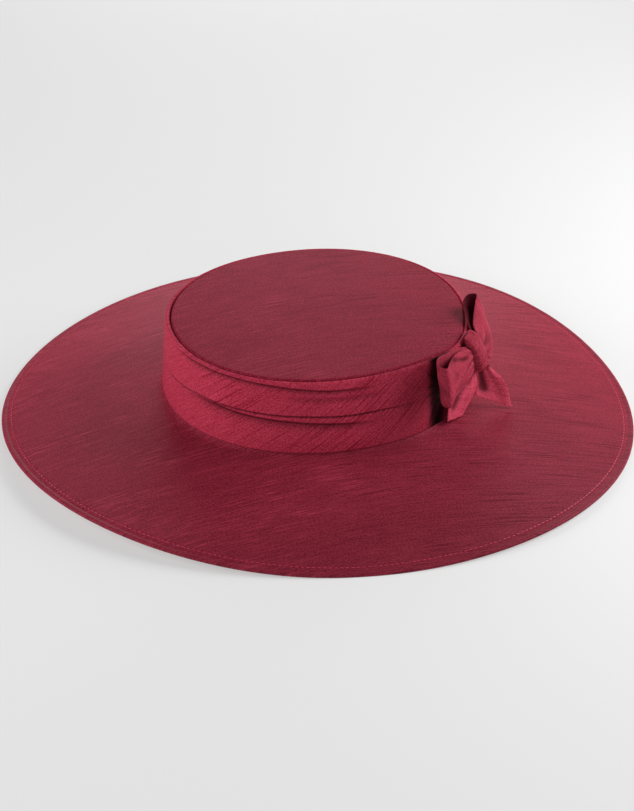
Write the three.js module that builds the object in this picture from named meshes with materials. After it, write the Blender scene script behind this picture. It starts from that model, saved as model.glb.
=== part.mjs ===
// Wide-brimmed boater hat covered in slubbed silk, with a folded hat band and a flat bow at its side.
// Millimetres, +Z up. The hat stands on its brim at z = 0, with the middle of its crown over the origin.
// The front of the hat points to -X, the wearer's left side to -Y, and the bow sits behind the left ear.
import * as THREE from "three";

// Head opening and crown
const headLong = 187.6;        // inside length of the head opening, front to back
const headWide = 173;        // inside width of the head opening, side to side
const ovalPower = 2.08;        // 2 is an ellipse, more is squarer
const wall = 1.8;              // covered buckram of the crown and of the brim's collar
const fitGap = 0.3;            // clearance between pieces that lie on each other
const sideLap = 0.6;           // how far the crown's side reaches down past the collar's foot
const crownTop = 73;           // height of the tip's edge above the surface the hat stands on
const crownTaper = 4;          // how much each half axis shrinks from the crown's foot to its tip
const tipThick = 2;            // covered top disc
const tipDome = 1.6;           // rise of the tip at its middle
const tipRound = 1.3;          // rounding of the tip's edge
const tipFlat = 0.5;           // share of the tip's underside that is flat
const tipRings = [0.35, 0.7, 0.9]; // rings across the tip, as shares of its radius
const cornerOut = 4.5;         // outward push of the crown's top edge beside the bow
const cornerAngle = -44;       // where that push is, in degrees round the hat
const cornerSpread = 18;       // and how many degrees it spreads

// Brim
const brimWide = 102.8;        // from the band's foot to the brim's edge
const brimThick = 2;           // covered buckram, two layers of cloth
const beadThick = 3.2;         // rolled and wired edge
const beadWide = 4.4;          // width of that roll
const hemIn = 6.4;             // the hem's stitched line, in from the edge
const hemDip = 0.25;           // how far that line is drawn in
const hemRun = 5;              // width over which the brim thins to that line
const coveTop = 32;            // height at which the brim turns up into the collar
const coveRound = 10;          // radius of that turn
const collarTall = 9;          // collar that stands inside the crown
const brimWave = 10;           // size that the edge's waves are shares of
const brimSkew = 5;            // size that the edge's sideways wander is shares of
const pressFlat = 0.7;         // how far the lowest stretches of the edge are pressed flat

// Hat band
const bandThick = 2.7;         // cloth and wadding of the folded band
const bandEdgeDrop = 0.8;      // the band's top edge lies this far under the tip's edge
const bandFoldDeep = 1.5;      // size that the folds' depths are shares of
const bandThinnest = 1;        // cloth left under the deepest fold
const bandRound = 0.75;        // rounding of the band's rolled edges
const bandLift = 0.45;         // the band's foot above the brim's cove

// Bow
const ribbonWide = 28;
const ribbonThick = 1.2;
const bowAngle = -37.4;        // knot's middle, in degrees round the hat
const bowDrop = 10.3;          // knot's middle under the tip's edge
const nearLoopLong = 46;
const farLoopLong = 39;
const loopPuff = 17;           // how far the loops stand out from the band
const nearTailLong = 40;
const farTailLong = 44;
const tailFlare = 27;          // how far the far tail reaches out over the brim
const knotWide = 13.5;
const knotThick = 10.5;        // how far the knot stands out from the band
const knotSquare = 0.75;       // 1 is an oval section, less is squarer

const stations = 64;           // steps round the hat
const slopeSteps = 5;          // tries that find the brim's slope
const loopSteps = 18;          // steps along a loop
const tailSteps = 6;
const knotSides = 12;

// Waves of the brim's edge, as shares of brimWave (up and down) and brimSkew (sideways)
const edgeWaves = [
  { turns: 0, cos: 0.32, sin: 0 },
  { turns: 1, cos: -0.05, sin: 0.11 },
  { turns: 2, cos: 0.125, sin: 0.28 },
  { turns: 3, cos: -0.13, sin: -0.07 },
  { turns: 4, cos: -0.03, sin: 0.15 },
];
const edgeSkews = [
  { turns: 2, cos: 0, sin: -0.9 },
  { turns: 3, cos: -0.29, sin: -0.19 },
];

// Rows across the brim: over the cove, as shares of its turn; down the slope, as shares of the width to the
// edge; and over the rolled edge, in from it as shares of beadWide, with half the thickness of each as a
// share of beadThick
const coveShares = [0.25, 0.5, 0.75, 1];
const slopeShares = [0.35, 0.65];
const beadRows = [
  { inward: 1, half: 0.45 },
  { inward: 0.5, half: 0.5 },
  { inward: 0.14, half: 0.34 },
];

// Folds along the band: height is a share of the band's height, deep of bandFoldDeep and wide of the
// height. Each lives between two angles round the hat and fades over fade degrees. drift moves it up
// or down, in shares of the height, from its first angle to its last.
const bandFolds = [
  { height: 0.94, deep: 0.75, wide: 0.030, from: -141, to: -92, fade: 14, drift: -0.06 },
  { height: 0.535, deep: 1.0, wide: 0.022, from: -215, to: -70, fade: 22, drift: -0.01 },
  { height: 0.475, deep: 0.85, wide: 0.034, from: -150, to: -92, fade: 16, drift: -0.06 },
  { height: 0.53, deep: 0.8, wide: 0.030, from: 0, to: 150, fade: 25, drift: 0 },
  { height: 0.24, deep: 0.6, wide: 0.050, from: -86, to: -58, fade: 8, drift: 0.16 },
  { height: 0.74, deep: 0.7, wide: 0.050, from: -84, to: -56, fade: 8, drift: -0.1 },
  { height: 0.72, deep: 0.7, wide: 0.050, from: -20, to: 14, fade: 10, drift: 0.1 },
  { height: 0.3, deep: 0.7, wide: 0.050, from: -20, to: 14, fade: 10, drift: -0.14 },
];

// Heights of the band's rows, as shares of its height
const bandRows = [
  0, 0.05, 0.15, 0.26, 0.37, 0.43, 0.475, 0.51, 0.535, 0.565, 0.64, 0.76, 0.86, 0.93, 0.97, 1,
];

// Loops of the bow, from the knot along the ply against the band, round the bend and back. Each row is a
// line across the ribbon. along and lowAlong place its top and low ends along the band, as shares of the
// loop's length. topOut, lowOut and belly are shares of loopPuff, out from the band, belly for how far the
// line's middle is pushed out. top and low are shares of ribbonWide, up from the knot's middle.
const nearLoopRows = [
  { along: 0.17, lowAlong: 0.17, topOut: 0.24, top: 0.27, lowOut: 0.34, low: -0.16, belly: 0 },
  { along: 0.39, lowAlong: 0.39, topOut: 0.26, top: 0.43, lowOut: 0.38, low: -0.38, belly: 0.01 },
  { along: 0.67, lowAlong: 0.67, topOut: 0.32, top: 0.5, lowOut: 0.5, low: -0.45, belly: 0.02 },
  { along: 0.89, lowAlong: 0.88, topOut: 0.45, top: 0.52, lowOut: 0.62, low: -0.42, belly: 0.01 },
  { along: 0.97, lowAlong: 0.95, topOut: 0.66, top: 0.49, lowOut: 0.9, low: -0.52, belly: 0 },
  { along: 0.95, lowAlong: 0.92, topOut: 1.04, top: 0.45, lowOut: 1.06, low: -0.56, belly: 0.02 },
  { along: 0.76, lowAlong: 0.72, topOut: 0.7, top: 0.42, lowOut: 0.86, low: -0.42, belly: 0.1 },
  { along: 0.53, lowAlong: 0.5, topOut: 0.38, top: 0.41, lowOut: 0.66, low: -0.4, belly: 0.14 },
  { along: 0.32, lowAlong: 0.3, topOut: 0.36, top: 0.36, lowOut: 0.6, low: -0.34, belly: 0.1 },
  { along: 0.17, lowAlong: 0.17, topOut: 0.4, top: 0.2, lowOut: 0.58, low: -0.24, belly: 0.02 },
];
const farLoopRows = [
  { along: 0.195, lowAlong: 0.22, topOut: 0.15, top: 0.36, lowOut: 0.26, low: -0.28, belly: 0.02 },
  { along: 0.46, lowAlong: 0.5, topOut: -0.09, top: 0.48, lowOut: 0.22, low: -0.36, belly: 0.15 },
  { along: 0.69, lowAlong: 0.78, topOut: -0.19, top: 0.575, lowOut: 0.24, low: -0.28, belly: 0.21 },
  { along: 0.87, lowAlong: 0.97, topOut: -0.2, top: 0.63, lowOut: 0.28, low: -0.12, belly: 0.19 },
  { along: 0.97, lowAlong: 1.06, topOut: -0.01, top: 0.72, lowOut: 0.42, low: -0.03, belly: 0.1 },
  { along: 0.97, lowAlong: 1.01, topOut: 0.29, top: 0.74, lowOut: 0.62, low: -0.06, belly: 0.06 },
  { along: 0.78, lowAlong: 0.84, topOut: 0.23, top: 0.66, lowOut: 0.78, low: -0.18, belly: 0.08 },
  { along: 0.54, lowAlong: 0.58, topOut: 0.17, top: 0.53, lowOut: 0.85, low: -0.34, belly: 0.1 },
  { along: 0.36, lowAlong: 0.38, topOut: 0.17, top: 0.43, lowOut: 0.84, low: -0.4, belly: 0.07 },
  { along: 0.195, lowAlong: 0.22, topOut: 0.3, top: 0.34, lowOut: 0.72, low: -0.34, belly: 0.02 },
];

// Tails of the bow, from the knot down: down is a share of the tail's length, each edge has its place along
// the band as a share of ribbonWide, and the outward places and the belly are shares of tailFlare.
const nearTailRows = [
  { leftDown: 0.28, rightDown: 0.32, left: -0.23, right: -0.01, leftOut: 0.15, rightOut: 0.29, belly: 0 },
  { leftDown: 0.47, rightDown: 0.46, left: -0.57, right: -0.03, leftOut: 0.13, rightOut: 0.33, belly: 0.02 },
  { leftDown: 0.6, rightDown: 0.64, left: -0.9, right: -0.07, leftOut: 0.13, rightOut: 0.32, belly: 0.03 },
  { leftDown: 0.76, rightDown: 0.86, left: -0.99, right: -0.2, leftOut: 0.15, rightOut: 0.23, belly: 0.02 },
  { leftDown: 0.91, rightDown: 0.99, left: -1.02, right: -0.46, leftOut: 0.17, rightOut: 0.19, belly: 0 },
];
const farTailRows = [
  { leftDown: 0.31, rightDown: 0.25, left: 0.12, right: 0.22, leftOut: 0.25, rightOut: 0.52, belly: 0 },
  { leftDown: 0.42, rightDown: 0.385, left: 0.1, right: 0.29, leftOut: 0.26, rightOut: 0.675, belly: -0.03 },
  { leftDown: 0.53, rightDown: 0.55, left: 0.07, right: 0.36, leftOut: 0.27, rightOut: 0.86, belly: -0.05 },
  { leftDown: 0.62, rightDown: 0.71, left: 0.03, right: 0.39, leftOut: 0.28, rightOut: 0.95, belly: -0.03 },
  { leftDown: 0.7, rightDown: 1.01, left: -0.04, right: 0.43, leftOut: 0.32, rightOut: 1.05, belly: 0.01 },
];

// Knot: a strip wrapped round the bow's middle. Rows run from its top to its foot: up is a share of
// ribbonWide, along and wide are shares of knotWide, out and thick are shares of knotThick.
const knotRows = [
  { up: 0.44, along: 0, out: 0.12, wide: 0.7, thick: 0.14 },
  { up: 0.42, along: 0, out: 0.21, wide: 0.95, thick: 0.32 },
  { up: 0.33, along: 0, out: 0.42, wide: 1.02, thick: 0.72 },
  { up: 0.16, along: 0, out: 0.58, wide: 1.04, thick: 1.04 },
  { up: 0, along: 0.02, out: 0.67, wide: 1.03, thick: 1.2 },
  { up: -0.15, along: 0.04, out: 0.74, wide: 1, thick: 1.24 },
  { up: -0.27, along: 0.06, out: 0.81, wide: 0.96, thick: 1.2 },
  { up: -0.35, along: 0.08, out: 0.88, wide: 0.86, thick: 1 },
  { up: -0.41, along: 0.06, out: 0.9, wide: 0.74, thick: 0.66 },
];

const degrees = Math.PI / 180;
const collarLong = headLong / 2 + wall;
const collarWide = headWide / 2 + wall;
const sideIn = fitGap;                            // crown side's inner face, out from the collar
const bandIn = sideIn + wall + fitGap;            // band's inner face, out from the collar
const bandOut = bandIn + bandThick;
const sideBottom = coveTop - sideLap;
const sideTop = crownTop - tipThick - fitGap;

// Distance from the middle to an oval whose half axes are given, squared up by ovalPower
function ovalRadius(angle, halfLong, halfWide) {
  const long = Math.abs(Math.cos(angle) / halfLong) ** ovalPower;
  const wide = Math.abs(Math.sin(angle) / halfWide) ** ovalPower;
  return (long + wide) ** (-1 / ovalPower);
}

// Signed difference of two angles, in degrees, between -180 and 180
function turnBetween(angleDegrees, middle) {
  return ((((angleDegrees - middle) % 360) + 540) % 360) - 180;
}

// Radius of the crown's shell, out millimetres outside the collar's face, at a height
function crownRadius(angle, out, height) {
  const share = Math.max(0, (height - sideBottom) / (crownTop - sideBottom));
  const turn = turnBetween(angle / degrees, cornerAngle) / cornerSpread;
  const shrink = crownTaper * share;
  const push = cornerOut * share * Math.exp(-turn * turn);
  return ovalRadius(angle, collarLong - shrink, collarWide - shrink) + out + push;
}

function waveSum(waves, angle) {
  const swing = (wave) => wave.cos * Math.cos(wave.turns * angle) + wave.sin * Math.sin(wave.turns * angle);
  return waves.reduce((sum, wave) => sum + swing(wave), 0);
}

function edgeRadius(angle) {
  const bandFoot = ovalRadius(angle, collarLong, collarWide) + bandOut;
  return bandFoot + brimWide + brimSkew * waveSum(edgeSkews, angle);
}

// Height of the rolled edge's middle above the floor
function edgeHeight(angle) {
  return beadThick / 2 - pressFlat + brimWave * waveSum(edgeWaves, angle);
}

// Slope of the brim from the end of the cove to its edge, found in tries because the cove's end depends on it
function brimSlope(angle) {
  const collar = ovalRadius(angle, collarLong, collarWide);
  let slope = 0;
  for (let step = 0; step < slopeSteps; step += 1) {
    const turn = Math.PI / 2 - Math.atan(slope);
    const run = edgeRadius(angle) - collar - coveRound * (1 - Math.cos(turn));
    slope = (coveTop - coveRound * Math.sin(turn) - edgeHeight(angle)) / run;
  }
  return slope;
}

// Height of the brim's upper side at a distance out from the collar
function brimTop(angle, out) {
  const slope = brimSlope(angle);
  const turn = Math.PI / 2 - Math.atan(slope);
  const coveEnd = coveRound * (1 - Math.cos(turn));
  if (out < coveEnd) {
    return coveTop - coveRound * Math.sin(Math.acos(1 - Math.max(0, out) / coveRound));
  }
  return coveTop - coveRound * Math.sin(turn) - slope * (out - coveEnd);
}

const at = (angle, radius, z) => new THREE.Vector3(radius * Math.cos(angle), radius * Math.sin(angle), z);
const angles = Array.from({ length: stations }, (_, i) => (i / stations) * 2 * Math.PI);

// One closed body from loops of points. Loops are joined in order, and the first and last either join
// each other (ring) or are closed with flat caps. The faces are turned to point outwards.
function loftLoops(loops, ring) {
  const count = loops[0].length;
  const faces = [];
  const index = (i, j) => (i % loops.length) * count + (j % count);
  for (let i = 0; i < loops.length - (ring ? 0 : 1); i += 1) {
    for (let j = 0; j < count; j += 1) {
      faces.push([index(i, j), index(i + 1, j), index(i + 1, j + 1)]);
      faces.push([index(i, j), index(i + 1, j + 1), index(i, j + 1)]);
    }
  }
  if (!ring) {
    for (let j = 1; j < count - 1; j += 1) {
      const low = Math.floor((j + 1) / 2);
      const [a, b, c] = j % 2 ? [low - 1, low, count - low] : [low, count - low, count - low - 1];
      const last = loops.length - 1;
      const turned = j % 2 ? [a, b, c] : [b, a, c];
      faces.push(turned.map((k) => index(0, k)));
      faces.push(turned.map((k) => index(last, k)).reverse());
    }
  }
  return solid(loops.flat(), faces);
}

// A dome of rings round the Z axis, closed at both ends by a point on the axis
function loftDisc(rings, first, last) {
  const points = [first, ...rings.flat(), last];
  const faces = [];
  const index = (i, j) => 1 + i * stations + (j % stations);
  for (let j = 0; j < stations; j += 1) {
    faces.push([0, index(0, j), index(0, j + 1)]);
    faces.push([points.length - 1, index(rings.length - 1, j + 1), index(rings.length - 1, j)]);
    for (let i = 0; i < rings.length - 1; i += 1) {
      faces.push([index(i, j), index(i + 1, j), index(i + 1, j + 1)]);
      faces.push([index(i, j), index(i + 1, j + 1), index(i, j + 1)]);
    }
  }
  return solid(points, faces);
}

function solid(points, faces) {
  const volume = faces.reduce((sum, [a, b, c]) => sum + points[a].dot(points[b].clone().cross(points[c])), 0);
  const turned = volume < 0 ? faces.map(([a, b, c]) => [a, c, b]) : faces;
  const geometry = new THREE.BufferGeometry().setFromPoints(points);
  geometry.setIndex(turned.flat());
  geometry.computeVertexNormals();
  return geometry;
}

// Closed outline of a wall round a line of [radius, height] points, with half the thickness at each
function thicken(line, halves) {
  const sides = line.map(([r, z], i) => {
    const [r0, z0] = line[Math.max(0, i - 1)];
    const [r1, z1] = line[Math.min(line.length - 1, i + 1)];
    const length = Math.hypot(r1 - r0, z1 - z0);
    const step = [(-(z1 - z0) / length) * halves[i], ((r1 - r0) / length) * halves[i]];
    return [[r + step[0], z + step[1]], [r - step[0], z - step[1]]];
  });
  return [...sides.map((s) => s[0]), ...sides.map((s) => s[1]).reverse()];
}

// Brim: collar inside the crown, cove, straight slope, hem line and rolled edge
function brimLoop(angle) {
  const collar = ovalRadius(angle, collarLong, collarWide);
  const edge = edgeRadius(angle) - collar;
  const half = brimThick / 2;
  const slope = brimSlope(angle);
  const line = [[-wall / 2, coveTop + collarTall], [-wall / 2, coveTop]];
  const halves = [wall / 2, wall / 2];
  for (const share of coveShares) {
    const turn = (Math.PI / 2 - Math.atan(slope)) * share;
    const round = coveRound + half;
    line.push([coveRound - round * Math.cos(turn), coveTop - round * Math.sin(turn)]);
    halves.push(half);
  }
  const slopeRows = slopeShares.map((share) => ({ out: edge * share, thin: 0 }));
  slopeRows.push({ out: edge - hemIn - hemRun, thin: 0 }, { out: edge - hemIn, thin: hemDip });
  for (const { out, thin } of slopeRows) {
    line.push([out, brimTop(angle, out) - half]);
    halves.push(half - thin);
  }
  for (const row of beadRows) {
    line.push([edge - beadWide * row.inward, edgeHeight(angle)]);
    halves.push(beadThick * row.half);
  }
  const outline = thicken(line, halves);
  outline.splice(line.length, 0, [edge, edgeHeight(angle)]);
  return outline.map(([out, z]) => at(angle, crownRadius(angle, out, z), Math.max(z, 0)));
}

function crownSideLoop(angle) {
  const outer = sideIn + wall;
  const corners = [[outer, sideBottom], [outer, sideTop], [sideIn, sideTop], [sideIn, sideBottom]];
  return corners.map(([out, z]) => at(angle, crownRadius(angle, out, z), z));
}

// Tip: rings of the domed upper side, the rounded edge and the underside, flat in its middle
function tipGeometry() {
  const edge = (angle) => crownRadius(angle, sideIn + wall, crownTop);
  const dome = (share) => crownTop + tipDome * (1 - share * share);
  const bevel = tipRound * (1 - Math.SQRT1_2);
  const rows = tipRings.map((share) => ({ share, inset: 0, z: dome(share) }));
  rows.push({ share: 1, inset: tipRound, z: crownTop }, { share: 1, inset: bevel, z: crownTop - bevel });
  rows.push({ share: 1, inset: 0, z: crownTop - tipRound }, { share: 1, inset: 0, z: crownTop - tipThick });
  rows.push({ share: tipFlat, inset: 0, z: dome(tipFlat) - tipThick });
  const ring = (row) => angles.map((angle) => at(angle, edge(angle) * row.share - row.inset, row.z));
  const middle = (z) => new THREE.Vector3(0, 0, z);
  return loftDisc(rows.map(ring), middle(dome(0)), middle(dome(tipFlat) - tipThick));
}

// How much of a fold is left at an angle, 0 to 1, and how far round the fold the angle lies
function foldShare(fold, angleDegrees) {
  const middle = (fold.from + fold.to) / 2;
  const turn = turnBetween(angleDegrees, middle);
  const past = Math.abs(turn) - (fold.to - fold.from) / 2;
  const live = past < 0 ? 1 : Math.exp(-((past / fold.fade) ** 2));
  return { live, along: Math.min(1, Math.max(0, turn / (fold.to - fold.from) + 0.5)) };
}

// Depth of all folds at a place on the band
function foldDepth(angle, share) {
  return bandFolds.reduce((sum, fold) => {
    const { live, along } = foldShare(fold, angle / degrees);
    const off = (share - fold.height - fold.drift * along) / fold.wide;
    return sum + bandFoldDeep * fold.deep * live * Math.exp(-off * off);
  }, 0);
}

// Band: a folded strip round the crown, whose foot sits on the brim's cove
function bandLoop(angle) {
  const top = crownTop - bandEdgeDrop;
  const foot = (out) => brimTop(angle, out) + bandLift;
  const loop = [];
  for (const z of [foot(bandIn), sideBottom, top - bandRound]) {
    loop.push(at(angle, crownRadius(angle, bandIn, z), z));
  }
  for (const share of [...bandRows].reverse()) {
    const round = share === 1 || share === 0 ? bandRound : 0;
    const out = bandOut - Math.min(bandThick - bandThinnest, foldDepth(angle, share) + round);
    const z = foot(share ? bandOut : out) * (1 - share) + top * share;
    loop.push(at(angle, crownRadius(angle, out, z), z));
  }
  return loop;
}

// A point by the bow: along the band from the knot, out from the band's face, and up from the knot's middle
function bowPoint(along, out, up) {
  const height = crownTop - bowDrop + up;
  const base = bowAngle * degrees;
  const angle = base + along / crownRadius(base, bandOut, crownTop - bowDrop);
  return at(angle, crownRadius(angle, bandOut + out, Math.min(height, crownTop)), height);
}

const bowOut = (along) => bowPoint(along, 1, 0).sub(bowPoint(along, 0, 0));

// A strip of cloth: rows of [edge point, edge point, push of the middle], smoothed and given its thickness
function ribbonGeometry(rows, steps) {
  const curve = (column) => new THREE.CatmullRomCurve3(rows.map((row) => row[column]), false, "chordal");
  const edges = [curve(0), curve(1)];
  const bellies = new THREE.CatmullRomCurve3(rows.map((row) => row[2]), false, "catmullrom");
  const across = [0, 0.33, 0.67, 1];
  const grid = Array.from({ length: steps + 1 }, (_, i) => {
    const ends = edges.map((edge) => edge.getPoint(i / steps));
    const push = bellies.getPoint(i / steps);
    const bulge = (share) => 4 * share * (1 - share);
    return across.map((share) => ends[0].clone().lerp(ends[1], share).addScaledVector(push, bulge(share)));
  });
  const loops = grid.map((row, i) => {
    const offsets = row.map((point, j) => {
      const forward = grid[Math.min(steps, i + 1)][j].clone().sub(grid[Math.max(0, i - 1)][j]);
      const sideways = row[Math.min(3, j + 1)].clone().sub(row[Math.max(0, j - 1)]);
      return forward.cross(sideways).setLength(ribbonThick / 2);
    });
    const front = row.map((point, j) => point.clone().add(offsets[j]));
    const back = row.map((point, j) => point.clone().sub(offsets[j])).reverse();
    return [...front, ...back];
  });
  return loftLoops(loops, false);
}

function loopGeometry(rows, long, side) {
  return ribbonGeometry(rows.map((row) => [
    bowPoint(side * row.along * long, row.topOut * loopPuff, row.top * ribbonWide),
    bowPoint(side * row.lowAlong * long, row.lowOut * loopPuff, row.low * ribbonWide),
    bowOut(side * row.along * long).multiplyScalar(row.belly * loopPuff),
  ]), loopSteps);
}

function tailGeometry(rows, long) {
  return ribbonGeometry(rows.map((row) => [
    bowPoint(row.left * ribbonWide, row.leftOut * tailFlare, -row.leftDown * long),
    bowPoint(row.right * ribbonWide, row.rightOut * tailFlare, -row.rightDown * long),
    bowOut(row.left * ribbonWide).multiplyScalar(row.belly * tailFlare),
  ]), tailSteps);
}

function knotGeometry() {
  const loops = knotRows.map((row) => Array.from({ length: knotSides }, (_, k) => {
    const turn = (k / knotSides) * 2 * Math.PI;
    const round = (value) => Math.sign(value) * Math.abs(value) ** knotSquare;
    const along = (row.along + (round(Math.cos(turn)) * row.wide) / 2) * knotWide;
    const out = (row.out + (round(Math.sin(turn)) * row.thick) / 2) * knotThick;
    return bowPoint(along, out, row.up * ribbonWide);
  }));
  return loftLoops(loops, false);
}

function silk(name, geometry, color) {
  const material = new THREE.MeshStandardMaterial({ color, roughness: 0.55, metalness: 0 });
  const mesh = new THREE.Mesh(geometry, material);
  mesh.name = name;
  return mesh;
}

const hat = new THREE.Group();
hat.name = "boater_hat";
hat.add(
  silk("brim", loftLoops(angles.map(brimLoop), true), 0x8a3545),
  silk("crown_side", loftLoops(angles.map(crownSideLoop), true), 0x7c2c3c),
  silk("crown_tip", tipGeometry(), 0x8a3545),
  silk("hat_band", loftLoops(angles.map(bandLoop), true), 0x94304a),
  silk("bow_loop_near", loopGeometry(nearLoopRows, nearLoopLong, -1), 0xa5404f),
  silk("bow_loop_far", loopGeometry(farLoopRows, farLoopLong, 1), 0xa5404f),
  silk("bow_tail_near", tailGeometry(nearTailRows, nearTailLong), 0xa5404f),
  silk("bow_tail_far", tailGeometry(farTailRows, farTailLong), 0x9a3b4a),
  silk("bow_knot", knotGeometry(), 0x903a49),
);

export default hat;
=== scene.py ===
import math

import bpy
import numpy as np
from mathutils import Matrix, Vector


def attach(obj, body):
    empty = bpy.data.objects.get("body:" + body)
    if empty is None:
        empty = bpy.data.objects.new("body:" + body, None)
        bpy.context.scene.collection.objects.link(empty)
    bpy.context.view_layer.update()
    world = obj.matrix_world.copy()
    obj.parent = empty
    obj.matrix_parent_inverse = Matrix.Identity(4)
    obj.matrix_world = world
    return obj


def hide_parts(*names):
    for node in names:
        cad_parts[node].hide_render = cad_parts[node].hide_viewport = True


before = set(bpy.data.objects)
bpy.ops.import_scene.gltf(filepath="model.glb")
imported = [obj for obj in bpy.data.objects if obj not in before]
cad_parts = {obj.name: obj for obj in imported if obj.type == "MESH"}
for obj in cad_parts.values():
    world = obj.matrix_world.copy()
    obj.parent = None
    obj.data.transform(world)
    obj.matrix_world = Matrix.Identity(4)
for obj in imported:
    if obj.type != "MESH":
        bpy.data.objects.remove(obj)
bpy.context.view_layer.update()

# Boater hat in crimson slubbed silk. Shapes are worked out in millimetres and put into the meshes in metres.
mm = 0.001
degrees = math.pi / 180
print("frame loaded:", ", ".join(sorted(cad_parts)))

# Camera at the photo's angle
viewpoint = {
    "azimuth": -18 * degrees,
    "elevation": 31 * degrees,
    "distance": 1.5,
    "aimHeight": 0.0023,
    "focalPixels": 2280.1,
    "picturePixels": 811,
    "sensor": 36,
}


def directionTo(azimuth, elevation):
    # Azimuth is seen from above and 0 is -Y, and elevation is up from the floor
    level = math.cos(elevation)
    return Vector((math.sin(azimuth) * level, -math.cos(azimuth) * level, math.sin(elevation)))


def makeCamera():
    data = bpy.data.cameras.new("camera")
    data.sensor_fit = "VERTICAL"
    data.sensor_height = viewpoint["sensor"]
    data.lens = viewpoint["focalPixels"] * viewpoint["sensor"] / viewpoint["picturePixels"]
    data.clip_start = 0.05
    data.clip_end = 50
    camera = bpy.data.objects.new("camera", data)
    back = directionTo(viewpoint["azimuth"], viewpoint["elevation"])
    camera.location = Vector((0, 0, viewpoint["aimHeight"])) + back * viewpoint["distance"]
    camera.rotation_euler = back.to_track_quat("Z", "Y").to_euler()
    bpy.context.scene.collection.objects.link(camera)
    bpy.context.scene.camera = camera


makeCamera()

# Floor and soft studio light
studio = {
    "floorSize": 9,
    "floorTone": 0.4,
    "floorGlow": 0.39,  # the floor is a softly lit table
    "floorRoughness": 0.9,
    "floorSpecular": 0.1,
    "skyTone": 0.9,
    "skyStrength": 0.02,
    "lamps": [
        # azimuth 0 is on the camera's side of the hat and 90 is to its right
        {"name": "backLight", "azimuth": 180, "elevation": 25, "distance": 1.4, "size": 0.9, "power": 8.5},
        {"name": "rightLight", "azimuth": 98, "elevation": 30, "distance": 0.85, "size": 0.7, "power": 9.2},
        {"name": "leftLight", "azimuth": -82, "elevation": 22, "distance": 1.1, "size": 0.7, "power": 8.4},
        {"name": "frontLight", "azimuth": 0, "elevation": 22, "distance": 1.4, "size": 0.9, "power": 6.6},
    ],
}


def setInputs(node, values):
    for name, value in values.items():
        node.inputs[name].default_value = value


def makeStage():
    half = studio["floorSize"] / 2
    mesh = bpy.data.meshes.new("floor")
    corners = [(-half, -half, 0), (half, -half, 0), (half, half, 0), (-half, half, 0)]
    mesh.from_pydata(corners, [], [(0, 1, 2, 3)])
    floor = bpy.data.objects.new("floor", mesh)
    paper = bpy.data.materials.new("paleFloor")
    paper.use_nodes = True
    setInputs(paper.node_tree.nodes["Principled BSDF"], {
        "Base Color": (studio["floorTone"],) * 3 + (1,),
        "Roughness": studio["floorRoughness"],
        "Specular IOR Level": studio["floorSpecular"],
        "Emission Color": (1, 1, 1, 1),
        "Emission Strength": studio["floorGlow"],
    })
    mesh.materials.append(paper)
    bpy.context.scene.collection.objects.link(floor)
    world = bpy.data.worlds.new("studio")
    world.use_nodes = True
    sky = {"Color": (studio["skyTone"],) * 3 + (1,), "Strength": studio["skyStrength"]}
    setInputs(world.node_tree.nodes["Background"], sky)
    bpy.context.scene.world = world
    bpy.context.scene.view_settings.view_transform = "Standard"
    for lamp in studio["lamps"]:
        data = bpy.data.lights.new(lamp["name"], "AREA")
        data.shape = "DISK"
        data.size = lamp["size"]
        data.energy = lamp["power"]
        light = bpy.data.objects.new(lamp["name"], data)
        aim = directionTo(viewpoint["azimuth"] + lamp["azimuth"] * degrees, lamp["elevation"] * degrees)
        light.location = aim * lamp["distance"]
        light.rotation_euler = aim.to_track_quat("Z", "Y").to_euler()
        bpy.context.scene.collection.objects.link(light)


makeStage()
print("stage and lights set")


# Meshes from grids
def gridQuads(rows, columns, closedRows, closedColumns):
    # Each point (i, j) starts a quad to (i+1, j), (i+1, j+1) and (i, j+1), starting over where a side closes
    i = np.arange(rows if closedRows else rows - 1)
    j = np.arange(columns if closedColumns else columns - 1)
    i, j = (a.ravel() for a in np.meshgrid(i, j, indexing="ij"))
    nextI, nextJ = (i + 1) % rows, (j + 1) % columns
    corners = [i * columns + j, nextI * columns + j, nextI * columns + nextJ, i * columns + nextJ]
    return np.stack(corners, axis=1)


def signedVolume(points, faces):
    # Sum of the tetrahedra from the origin to each face, split into triangles from its first corner
    total = 0.0
    for k in range(1, faces.shape[1] - 1):
        a, b, c = points[faces[:, 0]], points[faces[:, k]], points[faces[:, k + 1]]
        total += np.einsum("ij,ij->", a, np.cross(b, c))
    return total


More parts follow.
